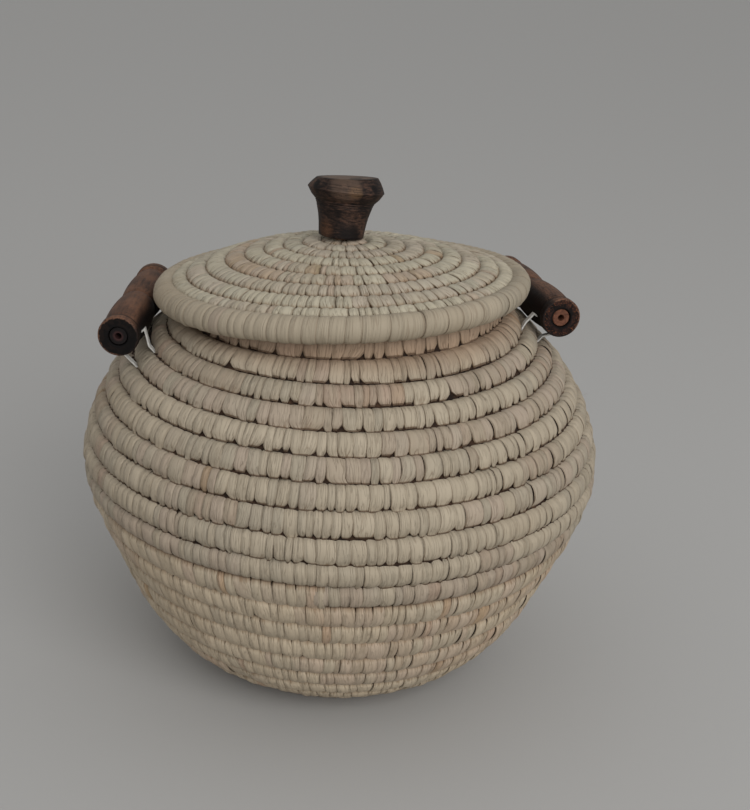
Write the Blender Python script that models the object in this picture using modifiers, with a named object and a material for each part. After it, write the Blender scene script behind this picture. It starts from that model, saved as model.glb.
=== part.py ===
# A lidded rice basket of coiled palm leaf, with a turned knob and two turned handles.
# Metres, Z up. The origin is the centre of the flat base, and the front faces -Y.
# Angles round the basket are counted from the front towards +X.

import math

import bmesh
import bpy
from mathutils import Matrix, Vector

# Body: one coil winds up from the base, and each turn is sewn to the one below
belly_radius = 0.159
body_height = 0.2435
wall_thickness = 0.0125
floor_thickness = 0.0125
groove_depth = 0.0035
lip_height = 0.0175
mouth_pitch = 0.0132
belly_pitch = 0.016
widening_turns = 9
neck_turns = 1.5
body_lean_ratio = 0.027
lean_start_height = 0.062

# Outline of the wall from the mouth to the base: shares of belly radius and body height
wall_shares = (
    (0.544, 1.0), (0.612, 0.943), (0.681, 0.914), (0.743, 0.882), (0.865, 0.795),
    (0.959, 0.687), (1.0, 0.561), (0.953, 0.441), (0.874, 0.319), (0.788, 0.1975),
    (0.668, 0.0932), (0.509, 0.0131), (0.472, 0.0),
)
outline_steps = 8
body_columns = 48
strands_per_turn = 3

# Lid: a dome of coiled rows that ends in a thicker rolled coil past the mouth
lid_overhang = 0.0183
lid_thickness = 0.0119
lid_pitch = 0.0114
lid_groove_depth = 0.002
dome_drop = 0.022
dome_roundness = 1.9
edge_coil_radius = 0.0074
edge_coil_drop = 0.0059
lid_shift_left = 0.0057
lid_shift_back = 0.0007
crown_lean_ratio = 0.026
edge_lean_ratio = 0.082
front_rise_ratio = 0.066
lid_columns = 40

# Ring of coil sewn under the lid, which drops inside the mouth
ring_coil_radius = 0.0055
ring_clearance = 0.0025

# Knob, with its peg through the lid and the washer under it
knob_height = 0.0375
knob_base_radius = 0.0133
knob_neck_radius = 0.0147
knob_neck_height = 0.011
knob_waist_radius = 0.0174
knob_waist_height = 0.022
knob_flare_radius = 0.0198
knob_flare_height = 0.025
knob_radius = 0.0224
knob_widest_height = 0.0293
knob_top_radius = 0.0172
knob_shift_left = 0.0025
knob_lean_right = 1.8
knob_lean_back = 6.5
peg_radius = 0.0045
peg_depth = 0.02
peg_head_radius = 0.008
peg_head_height = 0.003
washer_radius = 0.013
washer_thickness = 0.004

# Handles: turned from dark wood, bored right through for a pale core
handle_length = 0.108
handle_radius = 0.0123
handle_collar = 0.008
collar_step = 0.0004
collar_groove = 0.0022
collar_round = 0.0008
handle_waist = 0.0022
handle_bore_radius = 0.0057
core_radius = 0.0052
core_hole_radius = 0.0019
core_recess = 0.0006
turning_steps = 20

# Ties: white strips through a slot in the handle and round one turn of the wall
tie_width = 0.0032
tie_thickness = 0.0009
tie_inset = 0.0135
tie_depth = 0.008
tie_standoff = 0.0006
tie_inner_gap = 0.0005
tie_rise = 0.0015
tie_bend = 9
tie_search = 1.2
slot_clearance = 0.0004

# Fits
seat_gap = 0.0003
overrun = 0.004
weld_distance = 0.00001

# Where each handle lies: angle round the basket, turns below the first groove, skew off
# the wall's tangent, drop of its far end, gap to the wall and the upper groove of its ties
handles = (
    {"side": "left", "around": -89.1, "turn": 2.08, "skew": 2.4, "drop": 0.0,
     "wall_gap": 0.0026, "groove": 2, "forward": -1},
    {"side": "right", "around": 109.4, "turn": 1.36, "skew": 4.9, "drop": 3.0,
     "wall_gap": 0.0029, "groove": 1, "forward": 1},
)

leaf_color = (0.60, 0.53, 0.42, 1)
wood_color = (0.060, 0.028, 0.016, 1)
core_color = (0.42, 0.22, 0.09, 1)
strip_color = (0.78, 0.76, 0.70, 1)
peg_color = (0.20, 0.11, 0.05, 1)

mouth_radius = wall_shares[0][0] * belly_radius
lid_radius = mouth_radius + lid_overhang
dome_mouth_share = (mouth_radius / lid_radius) ** dome_roundness
crown_height = body_height + seat_gap + lid_thickness + dome_drop * dome_mouth_share


def clear_scene():
    for item in list(bpy.data.objects):
        bpy.data.objects.remove(item, do_unlink=True)


def collection(name):
    made = bpy.data.collections.new(name)
    bpy.context.scene.collection.children.link(made)
    return made


def material(name, color, roughness, metallic=0.0):
    made = bpy.data.materials.new(name)
    made.use_nodes = True
    shader = made.node_tree.nodes["Principled BSDF"]
    shader.inputs["Base Color"].default_value = color
    shader.inputs["Roughness"].default_value = roughness
    shader.inputs["Metallic"].default_value = metallic
    made.diffuse_color = color
    return made


def object_of(name, mesh, group, look=None, parent=None):
    made = bpy.data.objects.new(name, mesh)
    group.objects.link(made)
    if look:
        mesh.materials.append(look)
    if parent:
        made.parent = parent
        made.location = -parent.location
    return made


def mesh_of(name, shape):
    mesh = bpy.data.meshes.new(name)
    shape.to_mesh(mesh)
    shape.free()
    return mesh


def pivot(name, location, group):
    made = bpy.data.objects.new(name, None)
    made.location = location
    made.empty_display_size = tie_inset
    group.objects.link(made)
    return made


# Outline of the wall

def curve_through(points, steps):
    # A smooth curve that passes through every point
    ends = [points[0] * 2 - points[1]] + points + [points[-1] * 2 - points[-2]]
    made = []
    for before, start, end, after in zip(ends, ends[1:], ends[2:], ends[3:]):
        for step in range(steps):
            t = step / steps
            pull = (before * 2 - start * 5 + end * 4 - after) * t * t
            push = (start * 3 - before - end * 3 + after) * t * t * t
            made.append(start + ((end - before) * t + pull + push) / 2)
    return made + [points[-1]]


wall_line = curve_through(
    [Vector((r * belly_radius, h * body_height)) for r, h in wall_shares], outline_steps
)
wall_arcs = [0.0]
for first, second in zip(wall_line, wall_line[1:]):
    wall_arcs.append(wall_arcs[-1] + (second - first).length)


def wall_at(arc):
    # Radius and height of the outer wall, and its outward normal, at a distance from the mouth
    span = 0
    while span < len(wall_line) - 2 and wall_arcs[span + 1] < arc:
        span += 1
    part = (arc - wall_arcs[span]) / (wall_arcs[span + 1] - wall_arcs[span])
    slope = (wall_line[span + 1] - wall_line[span]).normalized()
    return wall_line[span].lerp(wall_line[span + 1], part), Vector((-slope.y, slope.x))


def arc_of(turn):
    # Distance from the mouth: the coil is finer at the mouth, and turn 0 is the first groove
    if turn < 0:
        return lip_height * (1 + turn)
    growth = (belly_pitch - mouth_pitch) / widening_turns
    widening = min(turn, widening_turns)
    even = turn - widening
    return lip_height + mouth_pitch * turn + growth * widening * (widening / 2 + even)


def last_turn():
    low, high = 0.0, wall_arcs[-1] / mouth_pitch
    for _ in range(60):
        middle = (low + high) / 2
        if arc_of(middle) < wall_arcs[-1]:
            low = middle
        else:
            high = middle
    return low


# Leans: the basket is hand made, so its lid and neck tip to one side

def lid_top(radius):
    return crown_height - dome_drop * (radius / lid_radius) ** dome_roundness


def lid_warp(x, y):
    # Rise of the lid's surface at a place seen from the lid's own axis
    radius = math.hypot(x, y)
    side = crown_lean_ratio + (edge_lean_ratio - crown_lean_ratio) * radius / lid_radius
    return x * side - y * front_rise_ratio


def lid_height(x, y):
    # Height of the lid's upper surface at a place seen from the basket's axis
    across, along = x + lid_shift_left, y - lid_shift_back
    return lid_top(math.hypot(across, along)) + lid_warp(across, along)


def place(radius, height, angle, turn):
    # A point of the wall, with the lean of the body and the tilt of the neck
    x, y = radius * math.sin(angle), -radius * math.cos(angle)
    upper = (height - lean_start_height) / (body_height - lean_start_height)
    leaned = height + x * body_lean_ratio * max(0.0, min(1.0, upper))
    neck = max(0.0, 1 - (turn + 1) / (neck_turns + 1))
    rim_x, rim_y = mouth_radius * math.sin(angle), -mouth_radius * math.cos(angle)
    seat = lid_height(rim_x, rim_y) - lid_thickness - seat_gap
    return Vector((x, y, leaned + neck * (seat - body_height - rim_x * body_lean_ratio)))


def wall_point(turn, angle, depth=0.0):
    spot, normal = wall_at(arc_of(turn))
    spot = spot - normal * depth
    return place(spot.x, spot.y, angle, turn)


def wall_normal(turn, angle):
    normal = wall_at(arc_of(turn))[1]
    return Vector((normal.x * math.sin(angle), -normal.x * math.cos(angle), normal.y))


# Body

def groove_share(strand, turn, end_turn):
    # How deep the groove is: the row lines follow the coil, which climbs as it goes round
    dip = max(0.0, 1 - strands_per_turn * abs(strand - round(strand)))
    return dip * min(1.0, 2 * (turn + 1), 2 * (end_turn - turn))


def outer_sheet(end_turn):
    # A flat sheet, round the basket by down the wall, sheared to the coil and then wrapped
    sheet = bmesh.new()
    rows = math.ceil(end_turn) + 3
    bmesh.ops.create_grid(
        sheet, x_segments=body_columns, y_segments=rows * strands_per_turn, size=0.5
    )
    for vert in sheet.verts:
        strand = (vert.co.y + 0.5) * rows - 2
        vert.co.y = strand - vert.co.x
    for cut, side in ((-1, -1), (end_turn, 1)):
        bmesh.ops.bisect_plane(
            sheet,
            geom=sheet.verts[:] + sheet.edges[:] + sheet.faces[:],
            plane_co=(0, cut, 0),
            plane_no=(0, side, 0),
            clear_outer=True,
        )
    for vert in sheet.verts:
        around, turn = vert.co.x, vert.co.y
        depth = groove_depth * groove_share(turn + around, turn, end_turn)
        vert.co = wall_point(turn, around * math.tau, depth)
    return sheet


def inner_end():
    # The turn where the inner face of the wall reaches the floor
    low, high = 0.0, last_turn()
    for _ in range(60):
        middle = (low + high) / 2
        spot, normal = wall_at(arc_of(middle))
        if spot.y - normal.y * wall_thickness > floor_thickness:
            low = middle
        else:
            high = middle
    return low


def inner_sheet():
    sheet = bmesh.new()
    end_turn = inner_end()
    rows = math.ceil(end_turn) + 1
    bmesh.ops.create_grid(sheet, x_segments=body_columns, y_segments=rows, size=0.5)
    for vert in sheet.verts:
        turn = (vert.co.y + 0.5) * (end_turn + 1) - 1
        vert.co = wall_point(turn, vert.co.x * math.tau, wall_thickness)
    return sheet


def open_loops(shape):
    # The edge loops at the mouth and at the bottom, told apart by their height
    edges = [edge for edge in shape.edges if edge.is_boundary]
    middle = body_height / 2
    upper = [edge for edge in edges if edge.verts[0].co.z > middle]
    return upper, [edge for edge in edges if edge.verts[0].co.z <= middle]


def body_mesh():
    shape = outer_sheet(last_turn())
    inside = mesh_of("inner_wall", inner_sheet())
    shape.from_mesh(inside)
    bpy.data.meshes.remove(inside)
    bmesh.ops.remove_doubles(shape, verts=shape.verts, dist=weld_distance)
    mouth, bottoms = open_loops(shape)
    bmesh.ops.bridge_loops(shape, edges=mouth)
    floors = [edge for edge in bottoms if edge.verts[0].co.z > floor_thickness / 2]
    bases = [edge for edge in bottoms if edge.verts[0].co.z <= floor_thickness / 2]
    bmesh.ops.contextual_create(shape, geom=floors)
    bmesh.ops.contextual_create(shape, geom=bases)
    bmesh.ops.recalc_face_normals(shape, faces=shape.faces)
    return mesh_of("basket_body", shape)


# Turned pieces

def turned(name, outline, steps, group, look, closed=True):
    # The outline runs down the outer side first, and then back up the inner side or the axis
    shape = bmesh.new()
    points = [shape.verts.new((radius, 0, height)) for radius, height in outline]
    for first, second in zip(points, points[1:]):
        shape.edges.new((first, second))
    if closed:
        shape.edges.new((points[-1], points[0]))
    made = object_of(name, mesh_of(name, shape), group, look)
    screw = made.modifiers.new("turned", "SCREW")
    screw.steps = steps
    screw.render_steps = steps
    screw.use_merge_vertices = True
    screw.merge_threshold = weld_distance
    return made


def settle(item):
    # Replaces the object's mesh by the one that its modifiers make
    bpy.context.view_layer.update()
    graph = bpy.context.evaluated_depsgraph_get()
    mesh = bpy.data.meshes.new_from_object(item.evaluated_get(graph))
    item.modifiers.clear()
    item.data = mesh
    return mesh


def smooth(item, angle=50):
    mesh = item.data
    mesh.shade_smooth()
    mesh.set_sharp_from_angle(angle=math.radians(angle))


def cut(item, cutter):
    modifier = item.modifiers.new("cut_" + cutter.name, "BOOLEAN")
    modifier.operation = "DIFFERENCE"
    modifier.object = cutter


def box_cutter(name, size, matrix, group):
    shape = bmesh.new()
    bmesh.ops.create_cube(shape, size=1, matrix=matrix @ Matrix.Diagonal((*size, 1)))
    return guide(name, shape, group)


def rod_cutter(name, radius, length, matrix, group):
    shape = bmesh.new()
    bmesh.ops.create_cone(
        shape, cap_ends=True, segments=turning_steps, radius1=radius, radius2=radius,
        depth=length, matrix=matrix,
    )
    return guide(name, shape, group)


def guide(name, shape, group):
    made = object_of(name, mesh_of(name, shape), group)
    made.hide_render = True
    made.display_type = "WIRE"
    return made


# Lid

def lid_outline():
    rows = int((lid_radius - peg_head_radius) / lid_pitch)
    centre = crown_height - dome_drop - edge_coil_drop
    outline = []
    for step in range(rows * 3, -1, -1):
        radius = lid_radius - lid_pitch * (step / 3 + 0.15)
        dip = lid_groove_depth if step % 3 == 0 else 0.0
        outline.append((radius, lid_top(radius) - dip))
    outline.insert(0, (0.0, crown_height))
    for degrees in range(85, -141, -25):
        bend = math.radians(degrees)
        outline.append((
            lid_radius + edge_coil_radius * math.cos(bend),
            centre + edge_coil_radius * math.sin(bend),
        ))
    inside = lid_radius - edge_coil_radius
    for step in range(6):
        radius = inside * (1 - step / 6)
        outline.append((radius, lid_top(radius) - lid_thickness))
    return outline + [(0.0, crown_height - lid_thickness)]


def lid_coil(group, look, parent):
    lid = turned("lid_coil", lid_outline(), lid_columns, group, look, closed=False)
    for vert in settle(lid).vertices:
        vert.co.z += lid_warp(vert.co.x, vert.co.y)
    lid.parent = parent
    lid.location = Vector((-lid_shift_left, lid_shift_back, 0)) - parent.location
    return lid


def inner_ring(group, look, parent):
    # The ring follows the lid's underside, and stays clear of the mouth's inner face
    radius = mouth_radius - wall_thickness - ring_clearance - ring_coil_radius
    outline = []
    for step in range(8):
        bend = math.tau * (0.25 - step / 8)
        outline.append((
            radius + ring_coil_radius * math.cos(bend), ring_coil_radius * math.sin(bend)
        ))
    ring = turned("lid_inner_ring", outline, lid_columns, group, look)
    for vert in settle(ring).vertices:
        flat = Vector((vert.co.x, vert.co.y)).normalized()
        under = min(
            lid_height(*(flat * (radius + reach * ring_coil_radius)))
            - lid_thickness
            - ring_coil_radius * math.sqrt(1 - reach * reach)
            for reach in (-0.6, -0.3, 0.0, 0.3, 0.6)
        )
        vert.co.z += under - seat_gap
    ring.parent = parent
    ring.location = -parent.location
    return ring


# Knob

knob_lean = Matrix.Rotation(math.radians(knob_lean_right), 4, "Y") @ Matrix.Rotation(
    -math.radians(knob_lean_back), 4, "X"
)


knob_foot = Vector((-lid_shift_left - knob_shift_left, lid_shift_back, crown_height))


def seat_on_lid(radius, under):
    # Distance along the knob's axis, from the crown, at which a disc just clears the lid
    axis = knob_lean @ Vector((0, 0, 1))
    heights = []
    for share in (0.0, 0.5, 1.0):
        for step in range(24):
            turn = math.tau * step / 24
            flat = knob_lean @ Vector((math.cos(turn), math.sin(turn), 0)) * radius * share
            surface = lid_height(knob_foot.x + flat.x, knob_foot.y + flat.y)
            if under:
                surface -= lid_thickness
            heights.append((surface - knob_foot.z - flat.z) / axis.z)
    return min(heights) - seat_gap if under else max(heights) + seat_gap


def on_knob_axis(item, height, parent):
    item.parent = parent
    item.rotation_euler = knob_lean.to_euler()
    item.location = knob_foot + knob_lean @ Vector((0, 0, height)) - parent.location


def knob_outline():
    hole = peg_radius + seat_gap
    return [
        (0.0, knob_height),
        (knob_top_radius, knob_height),
        (knob_radius, knob_widest_height),
        (knob_flare_radius, knob_flare_height),
        (knob_waist_radius, knob_waist_height),
        ((knob_waist_radius + knob_neck_radius) / 2, (knob_waist_height + knob_neck_height) / 2),
        (knob_neck_radius, knob_neck_height),
        (knob_base_radius, 0.0),
        (hole, 0.0),
        (hole, peg_depth),
        (0.0, peg_depth),
    ]


def knob_pieces(group, cutters, looks, parent):
    base = seat_on_lid(knob_base_radius, under=False)
    below = seat_on_lid(washer_radius, under=True)
    knob = turned("knob", knob_outline(), turning_steps, group, looks["wood"], closed=False)
    on_knob_axis(knob, base, parent)
    hole = peg_radius + seat_gap
    ring = [
        (washer_radius, 0.0), (washer_radius, -washer_thickness),
        (hole, -washer_thickness), (hole, 0.0),
    ]
    washer = turned("peg_washer", ring, turning_steps, group, looks["peg"])
    on_knob_axis(washer, below, parent)
    top = peg_depth - seat_gap
    neck = below - base - washer_thickness - seat_gap
    pin = [
        (0.0, top), (peg_radius, top), (peg_radius, neck), (peg_head_radius, neck),
        (peg_head_radius, neck - peg_head_height), (0.0, neck - peg_head_height),
    ]
    peg = turned("knob_peg", pin, turning_steps, group, looks["peg"], closed=False)
    on_knob_axis(peg, base, parent)
    for item in (knob, washer, peg):
        smooth(item, 30)
    bpy.context.view_layer.update()
    reach = base - below + overrun * 2
    middle = knob.matrix_world @ Matrix.Translation((0, 0, (below - base) / 2))
    return rod_cutter("peg_hole", hole, reach, middle, cutters)


# Handles

def handle_outline():
    # From the far end to the near end down the outer side, then back up the bore
    half = handle_length / 2
    collar = handle_radius - collar_step
    groove = collar - collar_groove
    stretch = half - handle_collar
    side = [
        (collar - collar_round, half),
        (collar, half - collar_round),
        (collar, half - handle_collar + collar_groove),
        (groove, half - handle_collar),
    ]
    for step in range(1, 8):
        swell = math.sin(math.pi * step / 8) ** 0.5
        side.append((
            handle_radius - handle_waist * (1 - swell), half - handle_collar - stretch * step / 8
        ))
    waist = [(handle_radius - handle_waist, 0.0)]
    other = [(radius, -height) for radius, height in reversed(side)]
    bore = [(handle_bore_radius, -half), (handle_bore_radius, half)]
    return side + waist + other + bore


def core_outline():
    half = handle_length / 2 - core_recess
    return [
        (core_radius, half), (core_radius, -half),
        (core_hole_radius, -half), (core_hole_radius, half),
    ]


def handle_frame(handle):
    # Centre of the handle, and its axes: across the wall's turns, outwards and along
    angle = math.radians(handle["around"])
    seat = wall_point(handle["turn"], angle)
    normal = wall_normal(handle["turn"], angle)
    tangent = Vector((math.cos(angle), math.sin(angle), 0)) * handle["forward"]
    along = Matrix.Rotation(-math.radians(handle["skew"]), 3, "Z") @ tangent
    drop = math.radians(handle["drop"])
    along = (along * math.cos(drop) - Vector((0, 0, math.sin(drop)))).normalized()
    out = (normal - along * normal.dot(along)).normalized()
    centre = seat + out * (handle_radius - handle_waist + handle["wall_gap"])
    across = out.cross(along)
    if across.z < 0:
        across = -across
    return centre, across, out, along


def frame_matrix(origin, across, out, along):
    if across.cross(out).dot(along) < 0:
        across = -across
    return Matrix.Translation(origin) @ Matrix((across, out, along)).transposed().to_4x4()


def groove_point(groove, station, along, handle):
    # Where the plane of a tie crosses one groove of the spiral, close to the handle
    middle = math.radians(handle["around"])

    def off_plane(angle):
        spot = wall_point(groove - angle / math.tau, angle)
        return (spot - station).dot(along)

    low, high = middle - tie_search, middle + tie_search
    rising = off_plane(high) > off_plane(low)
    for _ in range(50):
        angle = (low + high) / 2
        if (off_plane(angle) < 0) == rising:
            low = angle
        else:
            high = angle
    turn = groove - angle / math.tau
    return wall_point(turn, angle), wall_normal(turn, angle)


def tie_legs(station, axes, handle):
    # Both ends of the wrap: groove mouths outside the wall, and the way through it
    across, out, along = axes
    legs = []
    for groove in (handle["groove"], handle["groove"] + 1):
        spot, normal = groove_point(groove, station, along, handle)
        inward = -(normal - along * normal.dot(along)).normalized()
        facing = -inward.dot(normal)
        slant = abs(normal.dot(along)) / facing
        clear = tie_inner_gap + tie_thickness / 2 + tie_width / 2 * slant
        legs.append((spot, inward, wall_thickness / facing, clear))
    return legs


def tie_outline(station, axes, legs):
    # Closed route: through the handle under its core, down to one groove, round the turn
    # and back up
    across, out, along = axes
    radius = handle_radius + tie_standoff
    start = -math.asin(tie_depth / radius)
    sides = []
    for sign, (spot, inward, depth, clear) in zip((1, -1), legs):
        into = Vector((inward.dot(across), inward.dot(out)))
        flat = Vector(((spot - station).dot(across), (spot - station).dot(out)))
        flat -= into * tie_rise
        heading = math.atan2(flat.y, flat.x * sign)
        leave = heading + math.acos(min(1.0, radius / flat.length))
        points = [Vector((sign * radius * math.cos(start), -tie_depth))]
        hugs = max(0, round((start - leave) / math.radians(tie_bend)))
        for step in range(hugs):
            bend = start + (leave - start) * (step + 1) / hugs
            points.append(Vector((sign * radius * math.cos(bend), radius * math.sin(bend))))
        points.append(flat)
        points.append(flat + into * (tie_rise + depth + clear))
        sides.append(points)
    return sides[0] + list(reversed(sides[1]))


def tie_strip(name, station, axes, legs, group, look):
    across, out, along = axes
    shape = bmesh.new()
    half = along * tie_width / 2
    ring = []
    for point in tie_outline(station, axes, legs):
        spot = station + across * point.x + out * point.y
        ring.append(shape.verts.new(spot - half))
    edges = [shape.edges.new((a, b)) for a, b in zip(ring, ring[1:] + ring[:1])]
    made = bmesh.ops.extrude_edge_only(shape, edges=edges)["geom"]
    moved = [item for item in made if isinstance(item, bmesh.types.BMVert)]
    bmesh.ops.translate(shape, vec=half * 2, verts=moved)
    bmesh.ops.recalc_face_normals(shape, faces=shape.faces)
    strip = object_of(name, mesh_of(name, shape), group, look)
    thick = strip.modifiers.new("thickness", "SOLIDIFY")
    thick.thickness = tie_thickness
    thick.offset = 0
    thick.use_even_offset = True
    return strip


def wall_slots(legs, axes, name, cutters):
    across, out, along = axes
    made = []
    for number, (spot, inward, depth, _) in enumerate(legs):
        side = along.cross(inward)
        middle = spot + inward * depth / 2
        matrix = frame_matrix(middle, side, inward, along)
        size = (
            tie_thickness + slot_clearance * 2,
            depth + overrun,
            tie_width + slot_clearance * 2,
        )
        made.append(box_cutter(f"{name}_slot_{number}", size, matrix, cutters))
    return made


def handle_pieces(handle, group, cutters, looks):
    side = handle["side"]
    centre, across, out, along = handle_frame(handle)
    axes = (across, out, along)
    arm = handle_radius - handle_waist + handle["wall_gap"] + wall_thickness / 2
    hinge = pivot(f"handle_{side}_pivot", centre - out * arm, group)
    spin = frame_matrix(centre, across, out, along)
    wood = turned(f"handle_{side}", handle_outline(), turning_steps, group, looks["wood"])
    core = turned(f"handle_{side}_core", core_outline(), turning_steps, group, looks["core"])
    for item in (wood, core):
        smooth(item, 35)
        item.parent = hinge
        item.rotation_euler = spin.to_euler()
        item.location = centre - hinge.location
    slots = []
    reach = handle_length / 2 - tie_inset
    for end, offset in (("front", -reach), ("rear", reach)):
        station = centre + along * offset
        legs = tie_legs(station, axes, handle)
        tie_strip(f"tie_{side}_{end}", station, axes, legs, group, looks["strip"])
        slots += wall_slots(legs, axes, f"tie_{side}_{end}", cutters)
        size = (
            handle_radius * 2 + overrun,
            tie_thickness + slot_clearance * 2,
            tie_width + slot_clearance * 2,
        )
        matrix = frame_matrix(station - out * tie_depth, across, out, along)
        cut(wood, box_cutter(f"handle_{side}_{end}_eye", size, matrix, cutters))
    print(f"handle_{side} hinge", [round(v, 5) for v in hinge.location], "along",
          [round(v, 5) for v in along], "centre", [round(v, 5) for v in centre])
    return slots


def main():
    clear_scene()
    parts = collection("rice_basket")
    cutters = collection("cutters")
    looks = {
        "wood": material("dark_wood", wood_color, 0.45),
        "core": material("pale_core", core_color, 0.7),
        "strip": material("white_strip", strip_color, 0.8),
        "peg": material("brown_wood", peg_color, 0.6),
    }
    body = object_of(
        "basket_body", body_mesh(), parts, material("palm_leaf_body", leaf_color, 0.8)
    )
    lift = pivot("lid_lift", (0, 0, body_height), parts)
    lid = lid_coil(parts, material("palm_leaf_lid", leaf_color, 0.8), lift)
    ring = inner_ring(parts, material("palm_leaf_ring", leaf_color, 0.8), lift)
    cut(lid, knob_pieces(parts, cutters, looks, lift))
    for handle in handles:
        for slot in handle_pieces(handle, parts, cutters, looks):
            cut(body, slot)
    for item in (body, lid, ring):
        smooth(item, 40)


main()
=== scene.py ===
import math
import random

import bmesh
import bpy
import numpy as np
from mathutils import Matrix, Vector


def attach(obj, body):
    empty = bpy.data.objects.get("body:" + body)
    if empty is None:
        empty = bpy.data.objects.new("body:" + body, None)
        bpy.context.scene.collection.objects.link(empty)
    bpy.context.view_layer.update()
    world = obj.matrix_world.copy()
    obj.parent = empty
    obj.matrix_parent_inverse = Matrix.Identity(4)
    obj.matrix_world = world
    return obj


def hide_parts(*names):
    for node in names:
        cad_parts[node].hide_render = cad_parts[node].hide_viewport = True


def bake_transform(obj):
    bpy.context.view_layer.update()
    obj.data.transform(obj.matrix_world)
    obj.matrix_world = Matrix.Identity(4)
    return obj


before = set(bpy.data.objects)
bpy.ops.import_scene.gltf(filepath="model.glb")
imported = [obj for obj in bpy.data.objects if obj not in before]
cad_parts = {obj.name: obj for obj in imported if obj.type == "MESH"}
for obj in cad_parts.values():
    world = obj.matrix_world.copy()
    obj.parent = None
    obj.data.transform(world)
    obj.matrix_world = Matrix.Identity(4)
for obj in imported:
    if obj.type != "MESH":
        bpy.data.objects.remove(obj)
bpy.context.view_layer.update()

# Rice basket of coiled palm leaf. Each wrap of leaf is its own small strip, laid over a dark coil.
# Angles round the basket are counted from the front towards +X.

tau = math.tau
parts = bpy.context.scene.collection

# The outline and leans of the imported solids
body = {
    "bellyRadius": 0.159, "height": 0.2435, "wall": 0.0125, "floor": 0.0125,
    "lip": 0.0175, "mouthPitch": 0.0132, "bellyPitch": 0.016, "wideningTurns": 9,
    "neckTurns": 1.5, "lean": 0.027, "leanStart": 0.062, "panInset": 0.004, "panArc": 0.006, "steps": 12,
    "outlineShares": (
        (0.544, 1.0), (0.612, 0.943), (0.681, 0.914), (0.743, 0.882), (0.865, 0.795),
        (0.959, 0.687), (1.0, 0.561), (0.953, 0.441), (0.874, 0.319), (0.788, 0.1975),
        (0.668, 0.0932), (0.509, 0.0131), (0.472, 0.0),
    ),
}
lid = {
    "overhang": 0.0183, "thickness": 0.0119, "pitch": 0.0114,
    "domeDrop": 0.022, "roundness": 1.9, "edgeRadius": 0.0074, "edgeDrop": 0.0059,
    "shift": (-0.0057, 0.0007), "crownLean": 0.026, "edgeLean": 0.082, "frontRise": 0.066,
}
seatGap = 0.0003  # between pieces that rest on each other
footDepth = 0.0007  # how much of the base gives way where it stands
mouthRadius = body["outlineShares"][0][0] * body["bellyRadius"]
lidRadius = mouthRadius + lid["overhang"]
crownHeight = (body["height"] + seatGap + lid["thickness"]
               + lid["domeDrop"] * (mouthRadius / lidRadius) ** lid["roundness"])


def curveThrough(points, steps):
    ends = [points[0] * 2 - points[1]] + points + [points[-1] * 2 - points[-2]]
    made = []
    for before, start, end, after in zip(ends, ends[1:], ends[2:], ends[3:]):
        for step in range(steps):
            t = step / steps
            pull = (before * 2 - start * 5 + end * 4 - after) * t * t
            push = (start * 3 - before - end * 3 + after) * t * t * t
            made.append(start + ((end - before) * t + pull + push) / 2)
    return made + [points[-1]]


def arcOf(turn):
    # distance down the wall from the mouth: the coil is finer there, and turn 0 is the first groove
    growth = (body["bellyPitch"] - body["mouthPitch"]) / body["wideningTurns"]
    widening = np.clip(turn, 0, body["wideningTurns"])
    even = np.maximum(turn, 0) - widening
    down = body["mouthPitch"] * np.maximum(turn, 0) + growth * widening * (widening / 2 + even)
    return body["lip"] * (1 + np.minimum(turn, 0)) + down


def outlineTables():
    # radius, height and normal against distance, for the outer face and for the inner one
    knots = [Vector((r * body["bellyRadius"], z * body["height"])) for r, z in body["outlineShares"]]
    line = np.array([tuple(p) for p in curveThrough(knots, body["steps"])])
    arcs = np.concatenate([[0], np.cumsum(np.hypot(*np.diff(line, axis=0).T))])
    slope = np.gradient(line, arcs, axis=0)
    slope /= np.linalg.norm(slope, axis=1)[:, None]
    normal = np.stack([-slope[:, 1], slope[:, 0]], 1)
    foot = np.array([(line[-1, 0] * share, 0) for share in (0.97, 0.5, 0)])
    outer = np.concatenate([line, foot])
    outerNormal = np.concatenate([normal[:-1], [(0.5, -0.87)], [(0, -1)] * 3])
    outerArc = np.concatenate([arcs, arcs[-1] + line[-1, 0] - foot[:, 0]])
    inside = line - normal * body["wall"]
    keep = inside[:, 1] > body["floor"]
    edge = inside[keep][-1, 0] - body["panInset"]
    pan = np.array([(edge * share, body["floor"]) for share in (1, 0.5, 0)])
    inner = np.concatenate([inside[keep], pan])
    innerNormal = np.concatenate([-normal[keep], [(0, 1)] * 3])
    innerArc = np.concatenate([arcs[keep], arcs[keep][-1] + body["panArc"] + edge - pan[:, 0]])
    return (outerArc, outer, outerNormal), (innerArc, inner, innerNormal), arcs[-1]


outerFace, innerFace, wallArc = outlineTables()
allTurns = np.linspace(-1, 40, 4001)
wallTurns = float(np.interp(wallArc, arcOf(allTurns), allTurns))
outerTurns = float(np.interp(outerFace[0][-1], arcOf(allTurns), allTurns))
innerTurns = float(np.interp(innerFace[0][-1], arcOf(allTurns), allTurns))


def readFace(face, arc):
    table, spots, normals = face
    columns = [np.interp(arc, table, column) for column in (*spots.T, *normals.T)]
    length = np.hypot(columns[2], columns[3])
    return columns[0], columns[1], columns[2] / length, columns[3] / length


def lidTop(radius):
    return crownHeight - lid["domeDrop"] * (radius / lidRadius) ** lid["roundness"]


def lidWarp(x, y):
    side = lid["crownLean"] + (lid["edgeLean"] - lid["crownLean"]) * np.hypot(x, y) / lidRadius
    return x * side - y * lid["frontRise"]


def lidHeight(x, y):
    across, along = x - lid["shift"][0], y - lid["shift"][1]
    return lidTop(np.hypot(across, along)) + lidWarp(across, along)


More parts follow.
